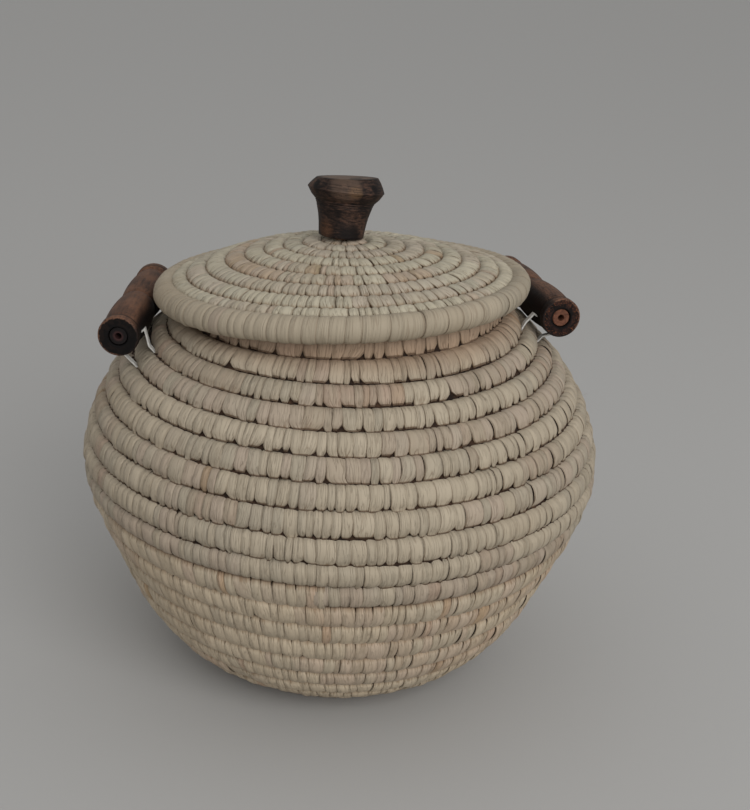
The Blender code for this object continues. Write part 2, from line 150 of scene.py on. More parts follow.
def bodyPlace(radius, height, angle, turn):
    # the body leans a little to one side, and its neck tips as the lid does
    x, y = radius * np.sin(angle), -radius * np.cos(angle)
    upper = np.clip((height - body["leanStart"]) / (body["height"] - body["leanStart"]), 0, 1)
    neck = np.maximum(0, 1 - (turn + 1) / (body["neckTurns"] + 1))
    rimX, rimY = mouthRadius * np.sin(angle), -mouthRadius * np.cos(angle)
    seat = lidHeight(rimX, rimY) - lid["thickness"] - seatGap
    tip = neck * (seat - body["height"] - rimX * body["lean"])
    return np.stack([x, y, height + x * body["lean"] * upper + tip], -1)


def onFace(face, turn, angle, lift):
    r, z, nr, nz = readFace(face, arcOf(turn))
    spots = bodyPlace(r + nr * lift, z + nz * lift, angle, turn)
    # the base is pressed flat, so that nothing goes below the surface it stands on
    share = np.minimum(spots[..., 2] / footDepth, 1)
    spots[..., 2] += footDepth * (np.exp(share - 1) - share)
    return spots


def lidPlace(radius, height, angle):
    x, y = radius * np.sin(angle), -radius * np.cos(angle)
    return np.stack([x + lid["shift"][0], y + lid["shift"][1], height + lidWarp(x, y)], -1)


def onLid(radius, angle, lift, under=False):
    steep = -lid["domeDrop"] * lid["roundness"] / lidRadius * (
        np.maximum(radius, 0.001) / lidRadius) ** (lid["roundness"] - 1)
    size = np.sqrt(1 + steep * steep)
    way = -1 if under else 1
    height = lidTop(radius) - (lid["thickness"] if under else 0)
    return lidPlace(radius - way * lift * steep / size, height + way * lift / size, angle)


def meshFrom(bm, name):
    mesh = bpy.data.meshes.new(name)
    bm.to_mesh(mesh)
    bm.free()
    return mesh


def addPiece(name, data):
    piece = bpy.data.objects.new(name, data)
    parts.objects.link(piece)
    return piece


def settledMesh(piece):
    # the piece's mesh with its modifiers applied
    bpy.context.view_layer.update()
    settled = bpy.data.meshes.new_from_object(piece.evaluated_get(bpy.context.evaluated_depsgraph_get()))
    piece.modifiers.clear()
    piece.data = settled
    return settled


# Materials

class Number:
    # a number socket, so that shader maths reads as sums
    def __init__(self, shader, socket):
        self.shader, self.socket = shader, socket

    def math(self, operation, *values):
        node = self.shader.node("Math", {"operation": operation}, dict(enumerate(values)))
        return Number(self.shader, node.outputs[0])

    def __add__(self, other): return self.math("ADD", self, other)
    def __radd__(self, other): return self.math("ADD", other, self)
    def __sub__(self, other): return self.math("SUBTRACT", self, other)
    def __rsub__(self, other): return self.math("SUBTRACT", other, self)
    def __mul__(self, other): return self.math("MULTIPLY", self, other)
    def abs(self): return self.math("ABSOLUTE", self)
    def above(self, low, high):
        # 0 below low, 1 above high
        node = self.shader.node("MapRange", {"interpolation_type": "SMOOTHSTEP"}, {
            "Value": self, "From Min": low, "From Max": high})
        return Number(self.shader, node.outputs[0])


class Shader:
    def __init__(self, name, gloss=0.3):
        self.material = bpy.data.materials.new(name)
        self.material.use_nodes = True
        self.tree = self.material.node_tree
        self.skin = self.tree.nodes["Principled BSDF"]
        self.skin.inputs["Specular IOR Level"].default_value = gloss

    def node(self, kind, settings=None, inputs=None):
        made = self.tree.nodes.new("ShaderNode" + kind)
        for key, value in (settings or {}).items():
            if key == "stops":
                self.fillRamp(made.color_ramp, value)
            else:
                setattr(made, key, value)
        for key, value in (inputs or {}).items():
            self.join(made.inputs[key], value)
        return made

    def fillRamp(self, ramp, stops):
        while len(ramp.elements) < len(stops):
            ramp.elements.new(0.5)
        for element, (place, color) in zip(ramp.elements, stops):
            element.position = place
            element.color = color

    def join(self, socket, value):
        if isinstance(value, Number):
            value = value.socket
        if isinstance(value, bpy.types.NodeSocket):
            self.tree.links.new(value, socket)
        else:
            socket.default_value = value

    def set(self, **values):
        for key, value in values.items():
            self.join(self.skin.inputs[key.replace("_", " ")], value)

    def stored(self, name, output="Fac"):
        return self.node("Attribute", {"attribute_type": "GEOMETRY", "attribute_name": name}).outputs[output]

    def attribute(self, name):
        return Number(self, self.stored(name))

    def split(self, vector):
        made = self.node("SeparateXYZ", None, {0: vector})
        return [Number(self, output) for output in made.outputs]

    def uv(self):
        return self.split(self.node("UVMap").outputs[0])[:2]

    def vector(self, x, y, z):
        return self.node("CombineXYZ", None, {0: x, 1: y, 2: z}).outputs[0]

    def noise(self, vector, scale, detail=3, rough=0.5):
        made = self.node("TexNoise", None, {
            "Vector": vector, "Scale": scale, "Detail": detail, "Roughness": rough})
        return Number(self, made.outputs[0])

    def ramp(self, value, stops):
        return self.node("ValToRGB", {"stops": stops}, {0: value}).outputs[0]

    def mix(self, share, first, second, how="MIX"):
        made = self.node("Mix", {"data_type": "RGBA", "blend_type": how}, {0: share, 6: first, 7: second})
        return made.outputs[2]

    def distance(self, first, second=(0.0, 0.0, 0.0)):
        made = self.node("VectorMath", {"operation": "DISTANCE"}, {0: first, 1: second})
        return Number(self, made.outputs["Value"])

    def bump(self, height, depth, strength=1.0):
        made = self.node("Bump", None, {"Height": height, "Distance": depth, "Strength": strength})
        self.join(self.skin.inputs["Normal"], made.outputs[0])


def rgb(red, green, blue):
    # a colour as a paint program shows it, 0 to 255
    shares = [((v / 255 + 0.055) / 1.055) ** 2.4 if v > 10 else v / 3294.6 for v in (red, green, blue)]
    return (*shares, 1)


leafLook = {
    "tones": (  # from the palest wraps to the odd dark ones
        (0.00, rgb(176, 164, 143)), (0.25, rgb(170, 158, 137)), (0.45, rgb(164, 154, 135)),
        (0.60, rgb(170, 155, 137)), (0.75, rgb(161, 148, 128)), (0.86, rgb(167, 147, 128)),
        (0.95, rgb(160, 139, 114)), (1.00, rgb(150, 131, 104)),
    ),
    "gap": rgb(70, 50, 35), "tip": rgb(132, 104, 76), "stain": rgb(150, 129, 101),
    "shaded": rgb(166, 133, 106), "foldLineAndSeamShade": rgb(112, 92, 70),
    # how strong a mark is on the whole wrap, and how much stronger at its end; the seam and gap marks are
    # painted shade
    "folds": (0.28, 0.52), "seamShades": (0.24, 0.44), "gaps": (0.22, 0.48),
    "stained": 0.22, "streaks": 0.16, "pleats": 0.14, "tips": 0.6, "rough": (0.60, 0.2), "relief": 0.0014,
}


def leafMaterial(name, tipStart, tipsUp=False, warm=0.0, tint=(1.0, 1.0, 1.0), lines=1.0, pleats=1.0,
                 valleyShade=0.15, ends=0.7, tipShadowFrom=0.90):
    # tipStart and the last argument say how far down a wrap it darkens, with brown at the tip and a painted
    # shadow line at the very end, and the rest how strong each mark is
    sh = Shader(name)
    across, along = sh.uv()
    tone, seed, shaded = sh.attribute("tone"), sh.attribute("seed"), sh.attribute("shaded")
    (folds, moreFolds), (seamShades, moreSeamShades) = leafLook["folds"], leafLook["seamShades"]
    gaps, moreGapShades = leafLook["gaps"]
    if tipsUp:
        along = 1 - along
    fine = sh.noise(sh.vector(across * 9 + seed * 83, along * 0.9, seed * 37), 2.2, 5, 0.65)
    pleat = sh.noise(sh.vector(across * 3.2 + seed * 61, along * 0.35, seed * 23), 1.9, 3, 0.6)
    broad = sh.noise(sh.vector(across * 1.3 + seed * 57, along * 0.5, seed * 19), 1.6, 2)
    patch = sh.noise(sh.node("TexCoord").outputs["Object"], 14, 3)
    color = sh.ramp(tone + (broad - 0.5) * 0.2, leafLook["tones"])
    color = sh.mix(patch.above(0.52, 0.78) * leafLook["stained"] + warm, color, leafLook["stain"])
    color = sh.mix(shaded, color, leafLook["shaded"])
    # the pleat term is painted shade across each wrap's pleats, over the leaf's own fine streaks
    shade = 1.0 + ((fine - 0.5) * leafLook["streaks"] + (pleat - 0.5) * leafLook["pleats"]) * pleats
    channels = {number: shade * share for number, share in enumerate(tint)}
    color = sh.mix(1.0, color, sh.node("CombineColor", None, channels).outputs[0], "MULTIPLY")
    # folds run lengthwise, and crowd together towards the pinched end
    bent = sh.noise(sh.vector(across * 5.5 + seed * 47, along * 0.55, seed * 29), 1.5, 2)
    fold = 1 - ((bent - 0.5).abs() * 26).above(0.0, 1.0)
    gapShadeNoise = sh.noise(sh.vector(seed * 91, along * 0.8, seed * 13), 1.7, 1)
    faded = sh.noise(sh.vector(across * 2 + seed * 33, along * 2.2, seed * 71), 1.3, 1)
    foldShare = faded.above(0.36, 0.66) * folds + along.above(0.50, 1.0) * moreFolds
    # painted shade: a thin line where a wrap's left edge lies on the next one, dark in places
    edge = (across - 0.5).abs() * 2 + (fine - 0.5) * 0.12
    left = 1 - across * 2 + (fine - 0.5) * 0.10
    seamShade = left.above(0.64, 0.80) * (seamShades + along.above(0.15, 0.85) * moreSeamShades)
    seamShade = seamShade + edge.above(0.84, 0.95) * along.above(0.5, 0.9) * 0.5
    # painted shade in the valley between neighbouring wraps
    seamShade = seamShade + (across * 2 + (fine - 0.5) * 0.10).above(1.54, 1.68) * valleyShade
    # the fold lines, and the painted shade of the seams and valleys, in one dark colour
    color = sh.mix((fold * foldShare + seamShade) * lines, color, leafLook["foldLineAndSeamShade"])
    tips = (along + (pleat - 0.5) * 0.22 + fold * 0.05).above(tipStart, tipStart + 0.18)
    color = sh.mix(tips * leafLook["tips"], color, leafLook["tip"])
    # a painted shadow line along the very end of each wrap, where it meets the row below
    low = (along + (fine - 0.5) * 0.04).above(tipShadowFrom, tipShadowFrom + 0.04)
    color = sh.mix(low * ends, color, leafLook["gap"])
    # painted shade along the left edge, in patches
    gapShare = gapShadeNoise.above(0.50, 0.74) * (gaps + along.above(0.1, 0.8) * moreGapShades)
    color = sh.mix(left.above(0.70, 0.80) * gapShare * lines, color, leafLook["gap"])
    smooth, dull = leafLook["rough"]
    sh.set(Base_Color=color, Roughness=smooth + fine * dull)
    sh.bump(fine * 0.4 + pleat * 0.8 - fold * 0.25, leafLook["relief"] * pleats)
    return sh.material


def bundleMaterial(name, stops):
    # the grass inside the coil, seen only in the gaps
    sh = Shader(name)
    grain = sh.noise(sh.node("TexCoord").outputs["Object"], 260, 3)
    sh.set(Base_Color=sh.ramp(grain, stops), Roughness=0.9)
    sh.bump(grain, 0.0006)
    return sh.material


# Strips of leaf

def leafGrid(name, count, across, along):
    # one flat strip, repeated by an Array, to be laid on the coil afterwards
    bm = bmesh.new()
    bm.loops.layers.uv.new("UVMap")
    bmesh.ops.create_grid(bm, x_segments=across, y_segments=along, size=0.5, calc_uvs=True)
    mesh = meshFrom(bm, name)
    strip = addPiece(name, mesh)
    array = strip.modifiers.new("wraps", "ARRAY")
    array.count = count
    array.use_relative_offset = False
    array.use_constant_offset = True
    apart = 2  # strips stand far enough apart to tell which one a vertex is in
    array.constant_offset_displace = (apart, 0, 0)
    laid = settledMesh(strip)
    bpy.data.meshes.remove(mesh)
    laid.name = name
    flat = np.empty(len(laid.vertices) * 3)
    laid.vertices.foreach_get("co", flat)
    x, y = flat[0::3], flat[1::3]
    index = np.round(x / apart).astype(int)
    return strip, index, np.sin((x - index * apart) * math.pi), y + 0.5


def layStrips(strip, spots, marks, look, rides, replaced=(), flip=False):
    # puts the flat strips in place, and keeps each one's marks for its look
    mesh = strip.data
    mesh.vertices.foreach_set("co", np.ascontiguousarray(spots, dtype=np.float32).ravel())
    for key, values in marks.items():
        layer = mesh.attributes.new(key, "FLOAT", "POINT")
        layer.data.foreach_set("value", np.ascontiguousarray(values, dtype=np.float32))
    if flip:
        mesh.flip_normals()
    mesh.materials.clear()
    mesh.materials.append(look)
    mesh.shade_smooth()
    mesh.update()
    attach(strip, rides)
    if replaced:
        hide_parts(*replaced)
    print("laid", strip.name, len(mesh.polygons), "faces")


wraps = {  # depths and widths are in metres, and the rest are shares of a wrap or of a turn
    "width": 0.0060, "spread": 0.30, "narrowest": 0.5, "widest": 1.9,
    "overlap": 1.12, "overlapTilt": 0.00016, "arch": 0.00042, "edgeDip": 0.00055,
    "unevenLift": 0.00031, "bow": 0.24, "unevenEnd": 0.035, "tipBend": 0.42, "bridge": 0.62,
    "slant": (0.25, 0.7), "pinched": (0.32, 0.80), "cracked": 0.04, "crack": (0.08, 0.14),
    "roundness": 2.3, "pastGroove": 1.06, "crowdDown": 0.09, "centreShare": 0.8, "centreLeast": 0.0012,
    "bundleDepth": 0.0012, "flattened": 0.0011, "flatAt": 2.6, "flatTurns": 0.9, "flatTight": 9,
    "grainRun": 6, "toneSpread": 0.07, "darkLeaf": 0.03, "darkWrap": 0.012,
    "lidShade": 0.55, "shadedTurns": 1.1,
}


def leafWidth(rng, usual):
    share = math.exp(rng.gauss(0, wraps["spread"]))
    return usual * min(max(share, wraps["narrowest"]), wraps["widest"])


def wrapWidths(rng, total, usual):
    # one width for each wrap, until they fill the length
    widths = []
    while sum(widths) < total:
        widths.append(leafWidth(rng, usual))
    share = total / sum(widths)
    return [width * share for width in widths]


def toneRun(rng, count):
    # neighbouring wraps often come from one leaf, so tones run on for a few wraps
    tones, tone = [], rng.random() * 0.7
    for _ in range(count):
        if rng.random() < 1 / wraps["grainRun"]:
            tone = rng.uniform(0.80, 0.90) if rng.random() < wraps["darkLeaf"] else rng.random() * 0.76
        tones.append(max(0.0, tone + rng.gauss(0, wraps["toneSpread"])))
    return [rng.uniform(0.88, 0.98) if rng.random() < wraps["darkWrap"] else min(tone, 0.9)
            for tone in tones]


def stripMarks(rng, count):
    def draw(one):
        return np.array([one() for _ in range(count)])
    return {
        "tone": np.array(toneRun(rng, count)),
        "seed": draw(rng.random),
        "rise": draw(lambda: rng.gauss(0, 1)),
        "slant": draw(lambda: min(max(rng.gauss(*wraps["slant"]), -1.0), 1.5)),
        "taper": draw(lambda: rng.uniform(*wraps["pinched"])),
        "crack": draw(lambda: rng.uniform(*wraps["crack"]) if rng.random() < wraps["cracked"] else 0.0),
        "reach": draw(lambda: rng.gauss(0, wraps["unevenEnd"])),
    }


outlines = {  # how wide a wrap is from its upper end to its lower end
    "pointDown": ((0.0, 0.06, 0.80, 1.0), (0.94, 1.0, 1.0, 0.24)),
    "pointUp": ((0.0, 0.10, 0.30, 1.0), (0.72, 0.86, 1.0, 1.0)),
    "notchDown": ((0.0, 0.70, 0.86, 1.0), (1.0, 1.0, 0.82, 0.42)),
    "band": ((0.0, 1.0), (1.0, 1.0)),
}


def wrapWidth(style, b, strength):
    places, sizes = outlines[style]
    return 1 - (1 - np.interp(b, places, sizes)) * strength


def coilBulge(b, depth):
    # 0 on the crest of a turn and -depth in its grooves
    power = wraps["roundness"]
    return -depth * (1 - (1 - np.abs(np.clip(b, 0, 1) * 2 - 1) ** power) ** (1 / power))


def spiralWraps(name, face, first, last, style, depth, look, seed, grid=(6, 8), replaced=(), flip=False):
    # wraps along the spiral, from the row whose upper groove is at turn first
    rng = random.Random(seed)
    starts, halves, widths, row = [], [], [], first
    while row < last:
        r = float(readFace(face, arcOf(np.array(row + 0.5)))[0])
        widest = wraps["centreShare"] * r + wraps["centreLeast"]
        widths.append(min(leafWidth(rng, wraps["width"]), widest))
        step = widths[-1] / (tau * max(r, 0.002))
        starts.append(row + step / 2)
        halves.append(step / 2 * tau)
        row += step
    marks = stripMarks(rng, len(starts))
    marks["taper"] *= np.minimum(1.2, wraps["width"] / np.array(widths))
    strip, index, a, b = leafGrid(name, len(starts), *grid)
    starts, halves = np.array(starts), np.array(halves)
    if style == "pointDown":
        b = b + wraps["crowdDown"] * np.sin(math.pi * b)
    wide = wrapWidth(style, b, marks["taper"][index]) * (wraps["overlap"] - marks["crack"][index])
    middle = -starts[index] * tau
    sway = marks["slant"][index] * (0.3 * (b - 0.5) + wraps["tipBend"] * np.clip(b * 4 - 3, 0, 1) ** 2)
    sway += wraps["bow"] * (1 - (2 * b - 1) ** 2)
    angle = middle + (a * wide + sway) * halves[index]
    row = -angle / tau
    top = np.clip(-1 - row, 0, 1)
    end = wraps["pastGroove"] + marks["reach"][index] * (style == "pointDown")
    down = top + (end - top) * b
    # the lower ends lie over the groove and go into the row below
    floor = np.where(down > 0.5, -wraps["bridge"] * depth, -depth)
    lift = np.maximum(coilBulge(down, depth), floor)
    lift += wraps["arch"] * (1 - a * a) * np.sin(math.pi * np.clip(b, 0.08, 0.74))
    lift += marks["rise"][index] * wraps["unevenLift"] * np.sin(math.pi * b)
    # each wrap's left edge lies on its neighbour
    lift -= wraps["overlapTilt"] * a + wraps["edgeDip"] * np.abs(a) ** 6
    turn, shaded = row + down, row * 0
    if face is outerFace:
        # the left handle rocks out against the wall, and has flattened the wraps there
        around = (np.cos(angle + math.pi / 2) - 1) * wraps["flatTight"]
        lift -= wraps["flattened"] * np.exp(around - ((turn - wraps["flatAt"]) / wraps["flatTurns"]) ** 2)
        shaded = np.clip(1 - turn / wraps["shadedTurns"], 0, 1) * wraps["lidShade"]
    spots = onFace(face, np.minimum(turn, last + 1), angle, lift)
    layStrips(strip, spots, {"tone": marks["tone"][index], "seed": marks["seed"][index], "shaded": shaded},
              look, "basket", replaced, flip)


def ringWraps(name, rings, put, style, look, seed, rides, grid=(6, 7), replaced=(),
              width=0.0056, flip=False, odd=1.0, arch=1.0):
    # wraps on closed rounds: rings holds the radius where each round's wraps are counted
    rng = random.Random(seed)
    middles, halves, rounds = [], [], []
    for number, radius in enumerate(rings):
        turned = rng.random() * tau
        for size in wrapWidths(rng, tau * radius, width):
            middles.append(turned + size / radius / 2)
            halves.append(size / radius / 2)
            rounds.append(number)
            turned += size / radius
    marks = stripMarks(rng, len(middles))
    marks["tone"] *= odd
    strip, index, a, b = leafGrid(name, len(middles), *grid)
    middles, halves, rounds = np.array(middles), np.array(halves), np.array(rounds)
    wide = wrapWidth(style, b, marks["taper"][index]) * (wraps["overlap"] - marks["crack"][index] * 0.4)
    sway = marks["slant"][index] * 0.2 * (b - 0.5) - wraps["bow"] * (1 - (2 * b - 1) ** 2)
    angle = middles[index] + (a * wide + sway) * halves[index]
    lift = wraps["arch"] * arch * (1 - a * a) - wraps["edgeDip"] * np.abs(a) ** 6 - wraps["overlapTilt"] * a
    lift += marks["rise"][index] * wraps["unevenLift"] * 0.7 * np.sin(math.pi * b)
    spots = put(rounds[index], angle, b, lift)
    layStrips(strip, spots, {"tone": marks["tone"][index], "seed": marks["seed"][index]}, look,
              rides, replaced, flip)


def bundleSheet(name, columns, rows, put, rides, look, flip=False):
    # the coil under the wraps: a grid laid on the same surface, a little lower
    bm = bmesh.new()
    bmesh.ops.create_grid(bm, x_segments=columns, y_segments=rows, size=0.5)
    grid = np.array([v.co[:] for v in bm.verts])
    for vert, spot in zip(bm.verts, put(grid[:, 0] * tau, 0.5 - grid[:, 1])):
        vert.co = spot
    bmesh.ops.remove_doubles(bm, verts=bm.verts, dist=0.00002)
    bmesh.ops.recalc_face_normals(bm, faces=bm.faces)
    mesh = meshFrom(bm, name)
    if flip:
        mesh.flip_normals()
    mesh.materials.append(look)
    mesh.shade_smooth()
    sheet = addPiece(name, mesh)
    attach(sheet, rides)


# Body

# the dark coil is near-black partly as painted shade in the deep gaps of the wall, under the lid and round
# the ring; the lid's top has a paler copy of the same grass
bundleLook = bundleMaterial("coilGrass", (
    (0.35, rgb(32, 22, 16)), (0.62, rgb(58, 40, 28)), (0.8, rgb(90, 66, 45))))
lidBundleLook = bundleMaterial("coilGrassLid", (
    (0.35, rgb(70, 50, 35)), (0.62, rgb(108, 82, 58)), (0.8, rgb(140, 112, 82))))
upperLook = leafMaterial("leafUpper", 0.86, tint=(0.96, 0.95, 0.96), pleats=0.6)
# the lower rows are tinted brighter than the upper ones: painted light, making up for less light reaching the
# lower wall
lowerLook = leafMaterial("leafLower", 0.84, tipsUp=True, warm=0.07, tint=(1.20, 1.17, 1.16), lines=0.85,
                         pleats=0.5, ends=0.45, tipShadowFrom=0.945)
insideLook = leafMaterial("leafInside", 0.86, warm=0.12, ends=0.0)
upperEnd = 9.0  # the turn from which the wraps point up instead of down
grooves = {"upper": 0.0046, "lower": 0.0028, "base": 0.0014, "inside": 0.0020}  # how deep each part's are
rim = {"reach": 0.0062, "swell": 0.0007, "below": 0.0009, "square": 0.8, "from": -25, "sweep": 230}
fibres = {"count": 70, "length": 0.0052, "width": 0.00040, "rows": 15, "root": 0.0030}


def bodyBundle(face, turns, depth):
    def put(angle, down):
        turn = -1 + down * (turns + 1)
        share = (turn + angle / tau) % 1
        bulge = coilBulge(share, depth) - wraps["bundleDepth"]
        return onFace(face, turn, angle, bulge * np.clip((turns - turn) * 2, 0, 1))
    return put


def rimPlace(number, angle, b, lift):
    # over the top of the mouth, from low on the outside to low on the inside
    r, z, nr, nz = readFace(outerFace, np.full_like(b, rim["reach"]))
    bend = math.radians(rim["from"]) + b * math.radians(rim["sweep"])
    width, height = body["wall"] / 2 + rim["swell"], rim["reach"] - rim["below"]
    c, s = np.cos(bend), np.sin(bend)
    x = (width + lift) * np.sign(c) * np.abs(c) ** rim["square"]
    y = (height + lift * 0.3) * np.sign(s) * np.abs(s) ** rim["square"]
    middle = -body["wall"] / 2
    return bodyPlace(r + nr * (x + middle) - nz * y, z + nz * (x + middle) + nr * y, angle,
                     -1 + (rim["reach"] - y) / body["lip"])


def strayFibres(name, seed):
    # broken threads of leaf that stand out of the grooves
    rng = random.Random(seed)
    picks = [(rng.randrange(fibres["rows"]), rng.random() * tau, rng.uniform(0.4, 1.4) * fibres["length"],
              rng.uniform(-1, 1), rng.uniform(0.15, 0.8), rng.uniform(-0.2, 0.3))
             for _ in range(fibres["count"])]
    strip, index, a, b = leafGrid(name, fibres["count"], 1, 6)
    groove, start, length, side, stand, drop = np.array(picks)[index].T
    turn = np.maximum(groove - start / tau, -0.5)
    r = readFace(outerFace, arcOf(turn))[0]
    angle = start + (side * length * b + a * fibres["width"] / 2 * (1 - b * 0.7)) / r
    lift = (stand * length + fibres["root"]) * b * (1.3 - b * 0.3) - fibres["root"]
    spots = onFace(outerFace, turn + drop * b, angle, lift)
    layStrips(strip, spots, {"tone": side * 0.3 + 0.5, "seed": stand}, upperLook, "basket")


bundleSheet("bodyCoil", 120, 200, bodyBundle(outerFace, outerTurns, grooves["upper"]), "basket",
            bundleLook)
bundleSheet("bodyCoilInside", 96, 160, bodyBundle(innerFace, innerTurns, grooves["inside"]), "basket",
            bundleLook, flip=True)
baseStart = wallTurns - 0.6  # the turn where the wall curves in to the base
spiralWraps("wrapsUpper", outerFace, -2.0, upperEnd, "pointDown", grooves["upper"], upperLook, 11,
            replaced=("basket_body",))
spiralWraps("wrapsLower", outerFace, upperEnd, baseStart, "pointUp", grooves["lower"], lowerLook, 12)
spiralWraps("wrapsBase", outerFace, baseStart, outerTurns - 0.75, "pointUp", grooves["base"], lowerLook,
            13, grid=(4, 5))
spiralWraps("wrapsInside", innerFace, -1.0, innerTurns - 0.7, "band", grooves["inside"], insideLook, 14,
            grid=(4, 5), flip=True)
ringWraps("mouthWraps", [mouthRadius], rimPlace, "band", upperLook, 15, "basket", grid=(6, 12))
strayFibres("strayFibres", 16)
print("body done")


# Lid

lidLook = leafMaterial("leafLid", 0.84, tint=(1.05, 1.10, 1.13), lines=1.1, pleats=0.6, valleyShade=0.45,
                       ends=0.25, tipShadowFrom=0.93)
edgeLook = leafMaterial("leafLidEdge", 2.0, tint=(0.83, 0.82, 0.82), lines=1.1, pleats=0.4, valleyShade=0.3,
                        ends=0.0)
lidRows = {
    "count": 9, "depth": 0.0030, "bridge": 0.0021, "bundle": 0.0010, "pastGroove": 1.04,
    "underDepth": 0.0012, "underInset": 0.0004, "underBundle": 0.0022,
    "edgeFrom": 125, "edgeTo": -205, "edgeGap": 0.0024, "edgeBundle": 0.0016,
}


def rowRadius(number, b):
    # the outermost row ends where the rolled edge starts
    short = np.where(number == 0, lidRows["edgeGap"], 0) * b
    return np.maximum(lidRadius - lid["pitch"] * (number + 1 - b) - short, 0.0005)


def lidRow(number, angle, b, lift):
    bulge = coilBulge(b, lidRows["depth"])
    lower = np.where((b > 0.5) & (number > 0), -lidRows["bridge"], -lidRows["depth"])
    return onLid(rowRadius(number, b * lidRows["pastGroove"]), angle, lift + np.maximum(bulge, lower))


def underRow(number, angle, b, lift):
    inside = np.minimum(rowRadius(number, b), lidRadius - lid["edgeRadius"])
    below = coilBulge(b, lidRows["underDepth"]) - lidRows["underInset"]
    return onLid(inside, angle, lift * 0.5 + below, under=True)


def edgeRow(number, angle, b, lift):
    bend = np.radians(lidRows["edgeFrom"] + (lidRows["edgeTo"] - lidRows["edgeFrom"]) * b)
    radius = lid["edgeRadius"] + lift * 0.6
    centre = crownHeight - lid["domeDrop"] - lid["edgeDrop"]
    return lidPlace(lidRadius + radius * np.cos(bend), centre + radius * np.sin(bend), angle)


def lidBundle(angle, down):
    radius = lidRadius * (1 - down)
    inward = (lidRadius - radius) / lid["pitch"]
    first = (inward * lid["pitch"] - lidRows["edgeGap"]) / (lid["pitch"] - lidRows["edgeGap"])
    share = np.where(inward < 1, first, inward % 1)
    return onLid(radius, angle, coilBulge(share, lidRows["depth"]) - lidRows["bundle"])


def underBundle(angle, down):
    radius = (lidRadius - lid["edgeRadius"]) * (1 - down)
    return onLid(radius, angle, np.full_like(radius, -lidRows["underBundle"]), under=True)


def edgeBundle(angle, down):
    return edgeRow(0, angle, down, np.full_like(down, -lidRows["edgeBundle"]))


bundleSheet("lidCoil", 96, 54, lidBundle, "lid", lidBundleLook)
bundleSheet("lidCoilUnder", 72, 12, underBundle, "lid", bundleLook)
bundleSheet("lidEdgeCoil", 96, 16, edgeBundle, "lid", lidBundleLook)
# the wraps of a row are counted a little below its middle
lidCounts = [float(rowRadius(number, 0.7)) for number in range(lidRows["count"])]
ringWraps("lidWraps", lidCounts, lidRow, "notchDown", lidLook, 21, "lid", replaced=("lid_coil",),
          flip=True, arch=2.0)
ringWraps("lidEdgeWraps", [lidRadius + lid["edgeRadius"]], edgeRow, "band", edgeLook, 22, "lid",
          grid=(6, 18), width=0.0066, flip=True, odd=0.6, arch=1.7)
ringWraps("lidUnderWraps", lidCounts, underRow, "band", insideLook, 23, "lid", grid=(4, 4))


# Ring under the lid

ring = {"coil": 0.0055, "clearance": 0.0025, "inset": 0.0004, "bundle": 0.002,
        "reaches": (-0.6, -0.3, 0.0, 0.3, 0.6)}
ringRadius = mouthRadius - body["wall"] - ring["clearance"] - ring["coil"]


def ringPlace(number, angle, b, lift):
    # the ring hangs as high as it can under the lid, whose underside slopes
    flatX, flatY = np.sin(angle), -np.cos(angle)
    under = np.min([
        lidHeight(flatX * (ringRadius + reach * ring["coil"]), flatY * (ringRadius + reach * ring["coil"]))
        - lid["thickness"] - ring["coil"] * math.sqrt(1 - reach * reach)
        for reach in ring["reaches"]], axis=0)
    bend = b * tau
    radius = ring["coil"] - ring["inset"] + lift * 0.4
    out = ringRadius + radius * np.cos(bend)
    return np.stack([out * flatX, out * flatY, under - seatGap + radius * np.sin(bend)], -1)


def ringBundle(angle, down):
    return ringPlace(0, angle, down, np.full_like(down, -ring["bundle"]))


bundleSheet("ringCoil", 72, 10, ringBundle, "lid", bundleLook)
ringWraps("ringWraps", [ringRadius], ringPlace, "band", insideLook, 24, "lid", grid=(4, 12),
          replaced=("lid_inner_ring",))
print("lid done")


# Turned wood

woodLook = {
    "dark": rgb(38, 29, 26), "brown": rgb(74, 54, 44), "warm": rgb(110, 78, 60),
    "char": rgb(20, 16, 16), "tan": rgb(110, 90, 76), "gold": rgb(124, 94, 64), "rust": rgb(98, 66, 44),
    "black": rgb(14, 12, 12), "redDark": rgb(44, 27, 23), "ember": rgb(122, 74, 48),
}
endGrain = {  # distances from a handle's middle, and then from its axis
    "collar": 0.0492, "face": (0.0530, 0.0536),
    "outer": (0.0106, 0.0112), "bright": (0.0066, 0.0104), "dark": (0.0062, 0.0074),
    "bore": (0.0058, 0.0061),
}
sheen = 0.16  # bare wood reflects less than leaf
sharpFrom = 32  # degrees between faces


